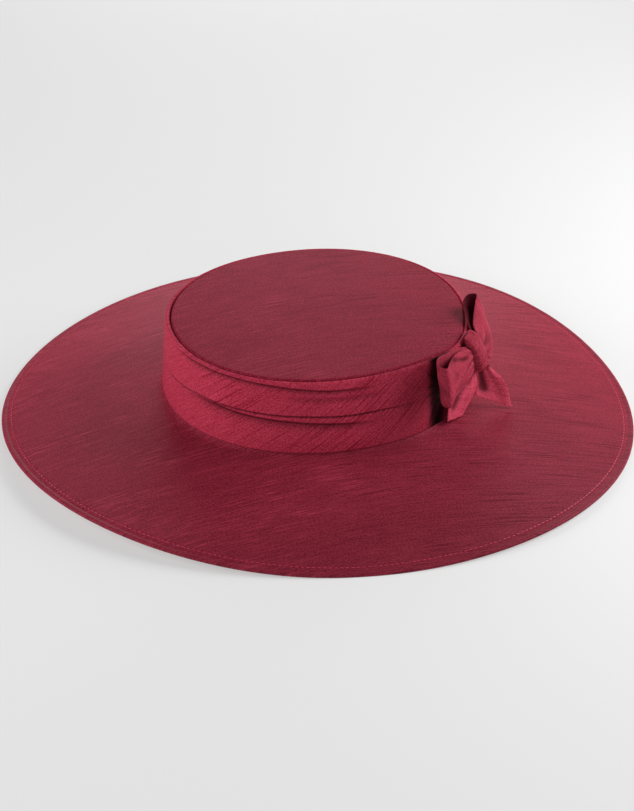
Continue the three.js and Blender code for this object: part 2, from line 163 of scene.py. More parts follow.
def makePiece(name, material, points, quads, triangles=None, cloth=None, wrap=None, shade=None):
    # points are in millimetres. cloth is each point's place on the flat cloth, also in millimetres, and wrap
    # the length after which that place starts again round a ring. shade is each point's share of the silk's
    # full colour, a painted shade.
    points = points.reshape(-1, 3)
    triangles = np.zeros((0, 3), int) if triangles is None else triangles
    if signedVolume(points, quads) + signedVolume(points, triangles) < 0:
        quads, triangles = quads[:, ::-1], triangles[:, ::-1]
    corners = np.concatenate([quads.ravel(), triangles.ravel()]).astype(np.int32)
    starts = np.concatenate([np.arange(len(quads)) * 4, len(quads) * 4 + np.arange(len(triangles)) * 3])
    mesh = bpy.data.meshes.new(name)
    mesh.vertices.add(len(points))
    mesh.vertices.foreach_set("co", (points * mm).astype(np.float32).ravel())
    mesh.loops.add(len(corners))
    mesh.loops.foreach_set("vertex_index", corners)
    mesh.polygons.add(len(starts))
    mesh.polygons.foreach_set("loop_start", starts.astype(np.int32))
    mesh.update(calc_edges=True)
    mesh.polygons.foreach_set("use_smooth", np.ones(len(starts), bool))
    if cloth is not None:
        flat = []
        for faces in (quads, triangles):
            spots = cloth.reshape(-1, 2)[faces]
            if wrap:
                along = spots[:, :, 0]
                spots[:, :, 0] = np.where(along.max(1, keepdims=True) - along > wrap / 2, along + wrap, along)
            flat.append(spots.reshape(-1, 2))
        layer = mesh.uv_layers.new(name="cloth")
        layer.data.foreach_set("uv", (np.concatenate(flat) * mm).astype(np.float32).ravel())
    if shade is not None:
        layer = mesh.attributes.new("shade", "FLOAT", "POINT")
        layer.data.foreach_set("value", shade.astype(np.float32).ravel())
    mesh.update()
    mesh.materials.append(material)
    piece = bpy.data.objects.new(name, mesh)
    bpy.context.scene.collection.objects.link(piece)
    return piece


def place(piece, slot, *nodes):
    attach(piece, "root")
    if nodes:
        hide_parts(*nodes)


def smoothStep(value, low, high):
    share = np.clip((value - low) / (high - low), 0, 1)
    return share * share * (3 - 2 * share)


def bell(value, width):
    # 1 at 0, and falling off to both sides by e to the minus (value / width) squared
    return np.exp(-((value / width) ** 2))


def turns(count):
    # Even steps round a full turn, in radians
    return np.arange(count) / count * 2 * math.pi


def unit(vectors):
    return vectors / np.maximum(np.linalg.norm(vectors, axis=-1, keepdims=True), 1e-9)


def ringRun(ring):
    # Distance round a closed ring to each point after the first, and back to it
    return np.cumsum(np.linalg.norm(np.diff(ring, axis=0, append=ring[:1]), axis=1))


def splineThrough(points, shares):
    # Curve through the points, each stretch a cubic whose end slopes follow its neighbours by their distances
    points = np.asarray(points, float)
    ends = np.vstack([2 * points[0] - points[1], points, 2 * points[-1] - points[-2]])
    at = np.clip(np.asarray(shares) * (len(points) - 1), 0, len(points) - 1 - 1e-9)
    k = at.astype(int)
    t = (at - k)[:, None]
    p0, p1, p2, p3 = ends[k], ends[k + 1], ends[k + 2], ends[k + 3]
    d0, d1, d2 = (np.maximum(np.linalg.norm(b - a, axis=1, keepdims=True), 1e-6)
                  for a, b in ((p0, p1), (p1, p2), (p2, p3)))
    m1 = ((p1 - p0) / d0 - (p2 - p0) / (d0 + d1) + (p2 - p1) / d1) * d1
    m2 = ((p2 - p1) / d1 - (p3 - p1) / (d1 + d2) + (p3 - p2) / d2) * d1
    return ((2 * t**3 - 3 * t**2 + 1) * p1 + (t**3 - 2 * t**2 + t) * m1
            + (-2 * t**3 + 3 * t**2) * p2 + (t**3 - t**2) * m2)


# Crown's oval, in millimetres
crown = {
    "halfLong": 95.6,  # collar's outer face, front to back
    "halfWide": 88.3,  # and side to side
    "ovalPower": 2.08,
    "top": 73,
    "taper": 4,
    "wall": 1.8,
    "gap": 0.3,
    "sideLap": 0.6,
    "cornerOut": 4.5,
    "cornerAngle": -44,
    "cornerSpread": 18,
}
brim = {
    "wide": 102.8,
    "thick": 2,
    "beadThick": 2.7,
    "beadMiddle": 0.9,  # height of the roll's middle before the waves are added
    "beadRise": 1.05,  # height of the brim's upper side over that middle, where the slope meets the roll
    "rollHalf": 1.9,
    "plateEnds": (1.2, 3.4),  # distances in from the edge over which the brim thins into the roll
    "levelEnds": (3, 6.8),  # and over which the slope's height turns into the roll's
    "hemIn": 6.4,
    "hemDip": 0.3,
    "hemDipWide": 0.6,
    "coveTop": 32,
    "coveRound": 10,
    "collarTall": 9,
    "wave": 10,
    "skew": 5,
    "puckerTall": 0.12,  # small waves beside the edge, where the hem is drawn in
    "puckerTurns": (171, 233, 307, 389),
    "puckerSeed": 4,
    "puckerIn": 5,
    "puckerWide": 3,
    # turns round the hat, share of wave or skew for the cosine and for the sine
    "edgeWaves": [(0, 0.32, 0), (1, -0.05, 0.11), (2, 0.125, 0.28), (3, -0.13, -0.07), (4, -0.03, 0.15)],
    "edgeSkews": [(2, 0, -0.9), (3, -0.29, -0.19)],
    "stations": 720,
    "collarRows": 5,
    "coveRows": 14,
    "slopeRows": 22,
    "rimWide": 9,  # distance in from the edge where the slope's rows end and the rim's begin
    "rimRows": (8.2, 7.6, 7.1, 6.7, 6.4, 6.1, 5.7, 5.2, 4.7, 4.3, 3.9, 3.5, 3, 2.5, 2, 1.5, 1.05, 0.7, 0.4,
                0.18, 0.04),
}
band = {
    "thick": 2.7,
    "edgeDrop": 0.8,
    "lift": 0.45,
    "endRound": 1.215,  # rounding of its two long edges, in millimetres
    "endShare": 0.04,  # share of its height that the rounding takes, and from which the folds run out
    "foldShare": 0.03,
    "faceHigh": 1.1,  # how far its folds may stand out, and how much less behind the knot
    "faceLow": 0.8,
    "lowSpread": 12,
    "lean": 0.7,  # how far its top leans out at the back
    "leanAngle": 152,
    "leanSpread": 38,
    "seam": -38,  # degrees round the hat to the cloth's seam, behind the bow
    "stations": 720,
    "innerRows": 10,
    "outerRows": 118,
    "runRow": 40,  # row along which the cloth's length is measured
}
bow = {
    "angle": -37.4,  # knot's middle, in degrees round the hat
    "drop": 10.3,  # knot's middle under the tip's edge
    "ribbonWide": 28,
    "ribbonThick": 0.9,
    "nearLoop": 46,
    "farLoop": 39,
    "puff": 17,
    "nearTail": 40,
    "farTail": 44,
    "flare": 27,
    "knotWide": 13.5,
    "knotThick": 10.5,
    "pleatTall": 0.55,  # gathers in the ribbon where the knot holds it
    "pleatReach": 11,
    "pleats": 3.5,
    "pleatStart": 5,
    "wrinkleTall": 0.3,
    "wrinkleLong": (5.3, 8.7),
    "foldShade": 0.68,  # painted shade: how much darker the silk is in a fold of foldDeep, and at the knot
    "foldDeep": 0.8,
    "knotShade": 0.75,
    "knotShadeReach": 2.6,
    "loopRows": 140,
    "tailRows": 70,
    "acrossRows": 40,
    # share of the silk's colour inside each loop, less where little light gets in
    "innerShade": {"bowLoopNear": 0.85, "bowLoopFar": 0.3},
}
sideBottom = brim["coveTop"] - crown["sideLap"]
bandIn = crown["gap"] * 2 + crown["wall"]
bandOut = bandIn + band["thick"]


def ovalRadius(angle, halfLong, halfWide):
    long = np.abs(np.cos(angle) / halfLong) ** crown["ovalPower"]
    wide = np.abs(np.sin(angle) / halfWide) ** crown["ovalPower"]
    return (long + wide) ** (-1 / crown["ovalPower"])


def turnBetween(angle, middle):
    return (angle / degrees - middle + 540) % 360 - 180


def crownRadius(angle, out, height):
    # Radius of the crown's shell: the collar's oval, tapered with height, pushed out beside the bow
    share = np.maximum(0, (height - sideBottom) / (crown["top"] - sideBottom))
    shrink = crown["taper"] * share
    push = crown["cornerOut"] * share * bell(turnBetween(angle, crown["cornerAngle"]), crown["cornerSpread"])
    return ovalRadius(angle, crown["halfLong"] - shrink, crown["halfWide"] - shrink) + out + push


def waveSum(waves, angle):
    return sum(c * np.cos(n * angle) + s * np.sin(n * angle) for n, c, s in waves)


def edgeRadius(angle):
    foot = ovalRadius(angle, crown["halfLong"], crown["halfWide"]) + bandOut
    return foot + brim["wide"] + brim["skew"] * waveSum(brim["edgeSkews"], angle)


def edgeHeight(angle):
    return brim["beadMiddle"] + brim["wave"] * waveSum(brim["edgeWaves"], angle)


def brimSlope(angle):
    # Slope of the line from the cove's end to the edge, found in tries because the cove's end depends on it
    collar = ovalRadius(angle, crown["halfLong"], crown["halfWide"])
    slope = np.zeros_like(angle)
    for attempt in range(6):
        turn = math.pi / 2 - np.arctan(slope)
        run = edgeRadius(angle) - collar - brim["coveRound"] * (1 - np.cos(turn))
        drop = brim["coveTop"] - brim["coveRound"] * np.sin(turn) - edgeHeight(angle) - brim["beadRise"]
        slope = drop / run
    return slope


def brimTop(angle, out):
    # Height of the brim's upper side at a distance out from the collar: a round cove, then a straight slope
    slope = brimSlope(angle)
    turn = math.pi / 2 - np.arctan(slope)
    coveEnd = brim["coveRound"] * (1 - np.cos(turn))
    inCove = np.arccos(np.clip(1 - np.maximum(0, out) / brim["coveRound"], -1, 1))
    cove = brim["coveTop"] - brim["coveRound"] * np.sin(inCove)
    straight = brim["coveTop"] - brim["coveRound"] * np.sin(turn) - slope * (out - coveEnd)
    return np.where(out < coveEnd, cove, straight)


def atPoints(angle, radius, height):
    return np.stack(np.broadcast_arrays(radius * np.cos(angle), radius * np.sin(angle), height), axis=-1)


def ripple(angle, counts, seed):
    # Sum of waves with these numbers of turns round the hat, each with its own phase
    phases = np.random.default_rng(seed).uniform(0, 2 * math.pi, len(counts))
    return sum(np.sin(n * angle + p) for n, p in zip(counts, phases)) / len(counts)


# Silk
silk = {
    "deep": (0.155, 0.005, 0.018),  # colour between the slubs
    "pale": (0.44, 0.036, 0.078),  # colour of the slubs
    "roughness": 0.6,
    "faint": 0.25,  # what is left of the slubs or dark lines on the side without them
    "paintedLightFrom": -0.17,  # places along the hat's Y, in metres, between which its painted light and shade change
    "paintedLightTo": 0.12,
    # each layer of noise: its blotches' size along and across the slubs in millimetres, where it starts, its
    # detail, the noise's values that are spread, and the values they become
    "longSlubs": (34, 0.7, 3.1, 1, 0.56, 0.7, 0, 1),
    "shortSlubs": (13, 0.6, 17.3, 1, 0.58, 0.72, 0, 1),
    # dark lines along the slubs are painted shadow beside their ridges
    "darkLines": (42, 0.9, 41.7, 1, 0.54, 0.68, 0, 1),
    "threads": (16, 0.5, 63.9, 2, 0.3, 0.7, -1, 1),
    "grain": (1.1, 0.9, 5.3, 1, 0.3, 0.7, -1, 1),
    "clouds": (70, 34, 11.9, 3, 0.3, 0.7, -1, 1),
    "patches": (60, 26, 29.7, 2, 0.38, 0.58, 0.25, 1),
    "shortShare": 0.8,  # strength of the short slubs beside the long ones
    "tone": 0.3,  # between deep and pale, and how far each layer moves it
    "slubTone": 0.75,
    "lineTone": 0.6,
    "threadTone": 0.16,
    "grainTone": 0.3,
    "cloudTone": 0.05,
}


def rangeNode(nodes, low, high, toLow, toHigh):
    # Spreads values from low-high to toLow-toHigh
    node = nodes.new("ShaderNodeMapRange")
    setInputs(node, {"From Min": low, "From Max": high, "To Min": toLow, "To Max": toHigh})
    return node


def slubbedSilkGroup():
    # Cloth coordinates in millimetres, x along the slubs: streaks are noise stretched along x
    group = bpy.data.node_groups.new("slubbedSilk", "ShaderNodeTree")
    for way, kind, names in (
        ("INPUT", "Vector", ("Vector",)), ("INPUT", "Float", ("Slubs", "Shadow Lines", "Grain", "Curve")),
        ("INPUT", "Color", ("Deep", "Pale")), ("OUTPUT", "Color", ("Color",)),
        ("OUTPUT", "Float", ("Roughness", "Height")),
    ):
        for name in names:
            group.interface.new_socket(name=name, in_out=way, socket_type="NodeSocket" + kind)
    nodes, links = group.nodes, group.links
    given = nodes.new("NodeGroupInput")
    result = nodes.new("NodeGroupOutput")

    def combine(operation, a, b, clamp=False):
        node = nodes.new("ShaderNodeMath")
        node.operation = operation
        node.use_clamp = clamp
        for socket, value in zip(node.inputs, (a, b)):
            if isinstance(value, (int, float)):
                socket.default_value = value
            else:
                links.new(value, socket)
        return node.outputs[0]

    def times(a, b):
        return combine("MULTIPLY", a, b)

    def plus(a, b, clamp=False):
        return combine("ADD", a, b, clamp)

    # The slubs bend with the cloth: across = across + curve times along squared
    parts = nodes.new("ShaderNodeSeparateXYZ")
    links.new(given.outputs["Vector"], parts.inputs["Vector"])
    bend = times(times(parts.outputs["X"], parts.outputs["X"]), given.outputs["Curve"])
    bent = nodes.new("ShaderNodeCombineXYZ")
    links.new(parts.outputs["X"], bent.inputs["X"])
    links.new(plus(parts.outputs["Y"], bend), bent.inputs["Y"])

    def stretched(along, across, offset, detail, low, high, toLow, toHigh):
        # Noise whose blotches are along and across millimetres in size, with its values spread from low-high
        scale = nodes.new("ShaderNodeMapping")
        setInputs(scale, {
            "Scale": (1 / along, 1 / across, 1 / across), "Location": (offset, offset * 0.7, offset * 1.3)})
        links.new(bent.outputs["Vector"], scale.inputs["Vector"])
        noise = nodes.new("ShaderNodeTexNoise")
        setInputs(noise, {"Scale": 1, "Detail": detail, "Roughness": 0.6})
        links.new(scale.outputs["Vector"], noise.inputs["Vector"])
        spread = rangeNode(nodes, low, high, toLow, toHigh)
        links.new(noise.outputs["Fac"], spread.inputs["Value"])
        return spread.outputs["Result"]

    threads, grain, clouds, patches = (stretched(*silk[k]) for k in ("threads", "grain", "clouds", "patches"))
    slubs = plus(stretched(*silk["longSlubs"]), times(stretched(*silk["shortSlubs"]), silk["shortShare"]))
    slubs = times(times(slubs, patches), given.outputs["Slubs"])
    lines = times(times(stretched(*silk["darkLines"]), patches), given.outputs["Shadow Lines"])
    fine = plus(times(threads, silk["threadTone"]), times(grain, silk["grainTone"]))
    tone = plus(silk["tone"], times(slubs, silk["slubTone"]))
    tone = combine("SUBTRACT", tone, times(lines, silk["lineTone"]))
    tone = plus(tone, times(fine, given.outputs["Grain"]))
    tone = plus(tone, times(clouds, silk["cloudTone"]), True)
    mix = nodes.new("ShaderNodeMix")
    mix.data_type = "RGBA"
    colorIn = [s for s in mix.inputs if s.type == "RGBA"]
    links.new(tone, mix.inputs["Factor"])
    links.new(given.outputs["Deep"], colorIn[0])
    links.new(given.outputs["Pale"], colorIn[1])
    links.new([s for s in mix.outputs if s.type == "RGBA"][0], result.inputs["Color"])
    rough = combine("SUBTRACT", silk["roughness"], times(slubs, 0.06))
    links.new(plus(rough, times(grain, 0.04)), result.inputs["Roughness"])
    height = combine("SUBTRACT", times(slubs, 0.5), times(lines, 0.6))
    weave = times(plus(threads, times(grain, 0.6)), 0.16)
    links.new(plus(height, weave), result.inputs["Height"])
    return group


slubbedSilk = slubbedSilkGroup()
plainLook = {
    "turn": 0,
    "curve": 0,
    "light": 1,
    "green": 1.1,
    "blue": 1,
    "specular": 0.04,
    "slubs": 1,
    "lines": 1,
    "grain": 1,
    "bump": 0.05,
    "shaded": False,
}


def silkMaterial(name, usesCloth, **changes):
    # look turns the slubs, from the hat's X axis on the brim and tip and from the strip's length on ribbons,
    # curves them, and sets how strong each part of the weave is. lightSide and darkSide are where along the
    # slubs, in millimetres, they turn from pale streaks of painted sheen into dark lines of painted shadow.
    # The left and right tones are shares of the silk's full colour on the hat's two sides, painted shade and
    # light.
    look = {**plainLook, **changes}
    material = bpy.data.materials.new(name)
    material.use_nodes = True
    nodes, links = material.node_tree.nodes, material.node_tree.links
    shader = nodes["Principled BSDF"]
    shader.inputs["Specular IOR Level"].default_value = look["specular"]
    if usesCloth:
        source = nodes.new("ShaderNodeUVMap")
        source.uv_map = "cloth"
        given = source.outputs["UV"]
    else:
        given = nodes.new("ShaderNodeTexCoord").outputs["Object"]
    turned = nodes.new("ShaderNodeMapping")
    setInputs(turned, {"Rotation": (0, 0, -look["turn"] * degrees), "Scale": (1000, 1000, 0)})
    links.new(given, turned.inputs["Vector"])
    weave = nodes.new("ShaderNodeGroup")
    weave.node_tree = slubbedSilk
    links.new(turned.outputs["Vector"], weave.inputs["Vector"])
    setInputs(weave, {"Grain": look["grain"], "Curve": look["curve"]})
    # Painted light across the hat: on one side the slubs show as pale streaks of painted sheen, on the other
    # as dark lines of painted shadow
    if "lightSide" in look:
        parts = nodes.new("ShaderNodeSeparateXYZ")
        links.new(turned.outputs["Vector"], parts.inputs["Vector"])
        faint = silk["faint"]
        for socket, strong, weak in (("Slubs", look["slubs"], look["slubs"] * faint),
                                     ("Shadow Lines", look["lines"] * faint, look["lines"])):
            change = rangeNode(nodes, look["lightSide"], look["darkSide"], strong, weak)
            change.interpolation_type = "SMOOTHSTEP"
            links.new(parts.outputs["X"], change.inputs["Value"])
            links.new(change.outputs["Result"], weave.inputs[socket])
    else:
        setInputs(weave, {"Slubs": look["slubs"], "Shadow Lines": look["lines"]})
    light = look["light"]
    for socket, (red, green, blue) in (("Deep", silk["deep"]), ("Pale", silk["pale"])):
        tone = (red * light, green * light * look["green"], blue * light * look["blue"], 1)
        weave.inputs[socket].default_value = tone
    raised = nodes.new("ShaderNodeBump")
    setInputs(raised, {"Strength": 1, "Distance": look["bump"] * mm})
    color = weave.outputs["Color"]
    share = None
    if look["shaded"]:
        # The piece's own shade attribute paints shade into the bottoms of its folds
        shade = nodes.new("ShaderNodeAttribute")
        shade.attribute_name = "shade"
        share = shade.outputs["Fac"]
    elif "leftTone" in look:
        # Painted shade and light: the silk's tone changes from darker on the left side of the brim or tip to
        # lighter on its right
        spot = nodes.new("ShaderNodeSeparateXYZ")
        links.new(given, spot.inputs["Vector"])
        sidePaintedLight = rangeNode(nodes, silk["paintedLightFrom"], silk["paintedLightTo"], look["leftTone"], look["rightTone"])
        links.new(spot.outputs["Y"], sidePaintedLight.inputs["Value"])
        share = sidePaintedLight.outputs["Result"]
    if share is not None:
        scaled = nodes.new("ShaderNodeVectorMath")
        scaled.operation = "SCALE"
        links.new(color, scaled.inputs[0])
        links.new(share, scaled.inputs["Scale"])
        color = scaled.outputs["Vector"]
    links.new(color, shader.inputs["Base Color"])
    links.new(weave.outputs["Roughness"], shader.inputs["Roughness"])
    links.new(weave.outputs["Height"], raised.inputs["Height"])
    links.new(raised.outputs["Normal"], shader.inputs["Normal"])
    return material


# Copies of one silk: light gives each its own painted light and shade, brightest on the tails, then the band
# and bow, and darker on the tip; the band's, bow's and tails' raised green and blue pale them with painted
# sheen
brimSilk = silkMaterial(
    "brimSilk", False, turn=-3, curve=0.00055, specular=0.12, bump=0.06, lightSide=-60, darkSide=90,
    leftTone=0.72, rightTone=1.16)
tipSilk = silkMaterial(
    "tipSilk", False, curve=0.0012, light=0.82, green=1, blue=0.95, slubs=0.55, lines=0.65, grain=1.1,
    lightSide=-40, darkSide=30, leftTone=0.95, rightTone=1.16)
sideSilk = silkMaterial("sideSilk", True, blue=1.1, specular=0.14, bump=0.06)
bandSilk = silkMaterial(
    "bandSilk", True, turn=38, light=1.54, green=1.3, blue=1.05, slubs=0.2, grain=0.8, shaded=True,
    lightSide=330, darkSide=430)
bowSilk = silkMaterial(
    "bowSilk", True, turn=60, light=1.14, green=1.5, blue=1.12, specular=0.03, slubs=0.3, lines=0.4,
    grain=0.7, bump=0.04, shaded=True)
paintedLightTailSilk = silkMaterial(
    "paintedLightTailSilk", True, turn=75, light=1.85, green=1.85, blue=1.3, slubs=0.3, lines=0.4, grain=0.7, bump=0.04,
    shaded=True)
print("silk mixed")


# Brim: profile from the collar's top over the cove, the slope and the rolled edge, and back underneath
def makeBrim():
    n = brim["stations"]
    angle = turns(n)[:, None]
    half = brim["thick"] / 2
    collar = ovalRadius(angle, crown["halfLong"], crown["halfWide"])
    edge = edgeRadius(angle) - collar
    slope = brimSlope(angle)
    fullTurn = math.pi / 2 - np.arctan(slope)
    collarRows = brim["collarRows"]
    rise = np.linspace(brim["coveTop"] + brim["collarTall"], brim["coveTop"], collarRows + 1)[None, :-1]
    outs = [np.full((n, collarRows), -crown["wall"] / 2)]
    heights = [np.broadcast_to(rise, (n, collarRows))]
    halves = [np.full((n, collarRows), crown["wall"] / 2)]
    turn = fullTurn * np.linspace(0, 1, brim["coveRows"])[None, :]
    outs.append(brim["coveRound"] - (brim["coveRound"] + half) * np.cos(turn))
    heights.append(brim["coveTop"] - (brim["coveRound"] + half) * np.sin(turn))
    halves.append(np.full_like(turn, half))
    coveEnd = outs[-1][:, -1:]
    # Slope rows, then rows that crowd towards the edge, each told by its distance in from the edge
    rimRows = np.broadcast_to(brim["rimRows"], (n, len(brim["rimRows"])))
    slopeShare = 1 - np.linspace(0.04, 1, brim["slopeRows"])[None, :]
    slopeRows = (edge - coveEnd - brim["rimWide"]) * slopeShare + brim["rimWide"]
    inward = np.concatenate([slopeRows, rimRows], axis=1)
    bead = brim["beadThick"] / 2 * np.sqrt(np.clip(1 - (inward / brim["rollHalf"] - 1) ** 2, 0, 1))
    plate = half * smoothStep(inward, *brim["plateEnds"])
    hem = brim["hemDip"] * bell(inward - brim["hemIn"], brim["hemDipWide"])
    thick = (bead**4 + plate**4) ** 0.25 - hem
    level = smoothStep(inward, *brim["levelEnds"])
    middle = edgeHeight(angle) * (1 - level) + (brimTop(angle, edge - inward) - half) * level
    drawnIn = bell(inward - brim["puckerIn"], brim["puckerWide"])
    pucker = brim["puckerTall"] * ripple(angle, brim["puckerTurns"], brim["puckerSeed"]) * drawnIn
    outs.append(edge - inward)
    heights.append(middle + pucker)
    halves.append(np.maximum(thick, 0.02))
    out, height, thick = (np.concatenate(parts, axis=1) for parts in (outs, heights, halves))
    stepOut, stepUp = np.gradient(out, axis=1), np.gradient(height, axis=1)
    length = np.hypot(stepOut, stepUp)
    sideOut, sideUp = -stepUp / length * thick, stepOut / length * thick
    out = np.concatenate([out + sideOut, (out - sideOut)[:, ::-1]], axis=1)
    height = np.maximum(np.concatenate([height + sideUp, (height - sideUp)[:, ::-1]], axis=1), 0)
    points = atPoints(angle, crownRadius(angle, out, height), height)
    quads = gridQuads(n, points.shape[1], True, True)
    piece = makePiece("brimCover", brimSilk, points, quads)
    place(piece, "crimson_silk", "brim")
    return piece


brimCover = makeBrim()
print("brim made:", len(brimCover.data.polygons), "faces")

# Topstitch along the hem: each stitch is a small spindle that dips into the cloth at its ends
stitches = {
    "long": 2.5,
    "pitch": 3.3,
    "thick": 0.5,
    "rings": 7,
    "sides": 6,
    "sink": 0.12,
    "dark": (0.36, 0.006, 0.04, 1),
    "light": (0.6, 0.02, 0.09, 1),
    "roughness": 0.45,
    "twistScale": 900,
}


def makeStitches():
    fine = np.linspace(0, 2 * math.pi, 4001)
    collar = ovalRadius(fine, crown["halfLong"], crown["halfWide"])
    out = edgeRadius(fine) - collar - brim["hemIn"]
    height = brimTop(fine, out) - brim["hemDip"]
    line = atPoints(fine, collar + out, height)
    run = np.concatenate([[0], np.cumsum(np.linalg.norm(np.diff(line, axis=0), axis=1))])
    count = int(run[-1] / stitches["pitch"])
    starts = np.arange(count)[:, None] * run[-1] / count
    share = np.linspace(0, 1, stitches["rings"])[None, :]
    where = starts + stitches["long"] * share
    middle, after = (np.stack([np.interp(spot, run, line[:, k]) for k in range(3)], axis=-1)
                     for spot in (where, where + 0.5))
    ahead = unit(after - middle)
    side = unit(np.cross(ahead, np.array([0, 0, 1.0])))
    lift = np.cross(side, ahead)
    # Each ring's share of the full thickness, least at the stitch's ends
    fullness = np.sqrt(np.clip(1 - (2 * share - 1) ** 4, 0.02, 1))[..., None]
    middle = middle + lift * (stitches["thick"] * 0.5 * fullness - stitches["sink"])
    turn = turns(stitches["sides"])
    ring = side[:, :, None] * np.cos(turn)[:, None] * 1.15 + lift[:, :, None] * np.sin(turn)[:, None]
    points = middle[:, :, None] + ring * (stitches["thick"] / 2 * fullness)[:, :, None]
    perStitch = stitches["rings"] * stitches["sides"]
    one = gridQuads(stitches["rings"], stitches["sides"], False, True)
    quads = (np.arange(count)[:, None, None] * perStitch + one[None]).reshape(-1, 4)
    # Two quads close each end, which has six sides
    cap = np.array([[0, 1, 2, 3], [0, 3, 4, 5]])
    caps = np.concatenate([cap, perStitch - stitches["sides"] + np.array([[0, 3, 2, 1], [0, 5, 4, 3]])])
    quads = np.concatenate([quads, (np.arange(count)[:, None, None] * perStitch + caps[None]).reshape(-1, 4)])
    thread = bpy.data.materials.new("stitchThread")
    thread.use_nodes = True
    nodes, links = thread.node_tree.nodes, thread.node_tree.links
    shader = nodes["Principled BSDF"]
    twist = nodes.new("ShaderNodeTexNoise")
    twist.inputs["Scale"].default_value = stitches["twistScale"]
    links.new(nodes.new("ShaderNodeTexCoord").outputs["Object"], twist.inputs["Vector"])
    ramp = nodes.new("ShaderNodeValToRGB")
    ramp.color_ramp.elements[0].color = stitches["dark"]
    ramp.color_ramp.elements[1].color = stitches["light"]
    links.new(twist.outputs["Fac"], ramp.inputs["Fac"])
    links.new(ramp.outputs["Color"], shader.inputs["Base Color"])
    shader.inputs["Roughness"].default_value = stitches["roughness"]
    piece = makePiece("hemStitches", thread, points, quads)
    place(piece, "crimson_silk")
    return piece


hemStitches = makeStitches()
print("stitches made:", len(hemStitches.data.polygons), "faces")


# Crown's side and tip
crownWall = {"stations": 360, "levels": 9}
tip = {
    "thick": 2,
    "dome": 1.6,
    "round": 1.3,
    "flat": 0.5,  # share of its half width that is flat underneath
    "stations": 480,
    "rings": 60,
    "roundRows": 8,
}


def makeCrownSide():
    # Outer face from its foot to its top, then the inner face down again
    n, levels = crownWall["stations"], crownWall["levels"]
    angle = turns(n)[:, None]
    rise = np.linspace(sideBottom, crown["top"] - tip["thick"] - crown["gap"], levels)
    height = np.concatenate([rise, rise[::-1]])[None, :]
    out = np.repeat([crown["gap"] + crown["wall"], crown["gap"]], levels)[None, :]
    points = atPoints(angle, crownRadius(angle, out, height), height)
    run = ringRun(points[:, 0])[:, None]
    cloth = np.stack(np.broadcast_arrays(run - run[0], height), axis=-1)
    piece = makePiece("crownSideWall", sideSilk, points, gridQuads(n, 2 * levels, True, True), cloth=cloth,
                      wrap=float(run[-1, 0]))
    place(piece, "crimson_silk", "crown_side")
    return piece


crownSideWall = makeCrownSide()


def makeTip():
    # Domed upper side out to its rounded edge, then the underside back to the middle, each closed at a pole
    n = tip["stations"]
    angle = turns(n)[:, None]
    edge = crownRadius(angle, crown["gap"] + crown["wall"], crown["top"])
    shares = np.linspace(0.015, 1, tip["rings"]) ** 0.8
    dome = crown["top"] + tip["dome"] * (1 - shares**2)
    bend = np.linspace(0, 1, tip["roundRows"] + 1)[1:] * math.pi / 2
    top = (edge - tip["round"]) * shares[None, :]
    roundOut = edge - tip["round"] + tip["round"] * np.sin(bend)[None, :]
    roundUp = crown["top"] - tip["round"] * (1 - np.cos(bend))
    under = shares[::-1][None, :]
    underUp = crown["top"] - tip["thick"] + tip["dome"] * (1 - np.maximum(under, tip["flat"]) ** 2)
    radius = np.concatenate([top, roundOut, edge * under], axis=1)
    height = np.broadcast_to(np.concatenate([dome, roundUp, underUp[0]]), radius.shape)
    grid = atPoints(angle, radius, height)
    rows = grid.shape[1]
    poles = np.array([[0, 0, crown["top"] + tip["dome"]], [0, 0, height[0, -1]]])
    points = np.concatenate([grid.reshape(-1, 3), poles])
    j = np.arange(n)
    upper = np.stack([np.full(n, n * rows), (j + 1) % n * rows, j * rows], axis=1)
    lower = np.stack([np.full(n, n * rows + 1), j * rows + rows - 1, (j + 1) % n * rows + rows - 1], axis=1)
    quads = gridQuads(n, rows, True, False)
    piece = makePiece("crownTip", tipSilk, points, quads, np.concatenate([upper, lower]))
    place(piece, "crimson_silk", "crown_tip")
    return piece


crownTip = makeTip()
print("crown made")


# Band: a folded strip round the crown
def creaseAt(angle, path):
    # Height share of a crease along its path of (degrees, share) points
    middle = np.mean([p[0] for p in path])
    return np.interp(turnBetween(angle, middle), [p[0] - middle for p in path], [p[1] for p in path])


def fadeBetween(angle, start, end, fade):
    # 1 between the two angles, and a bell's flank beyond them
    middle = (start + end) / 2
    past = np.abs(turnBetween(angle, middle)) - (end - start) / 2
    return bell(np.maximum(past, 0), fade)


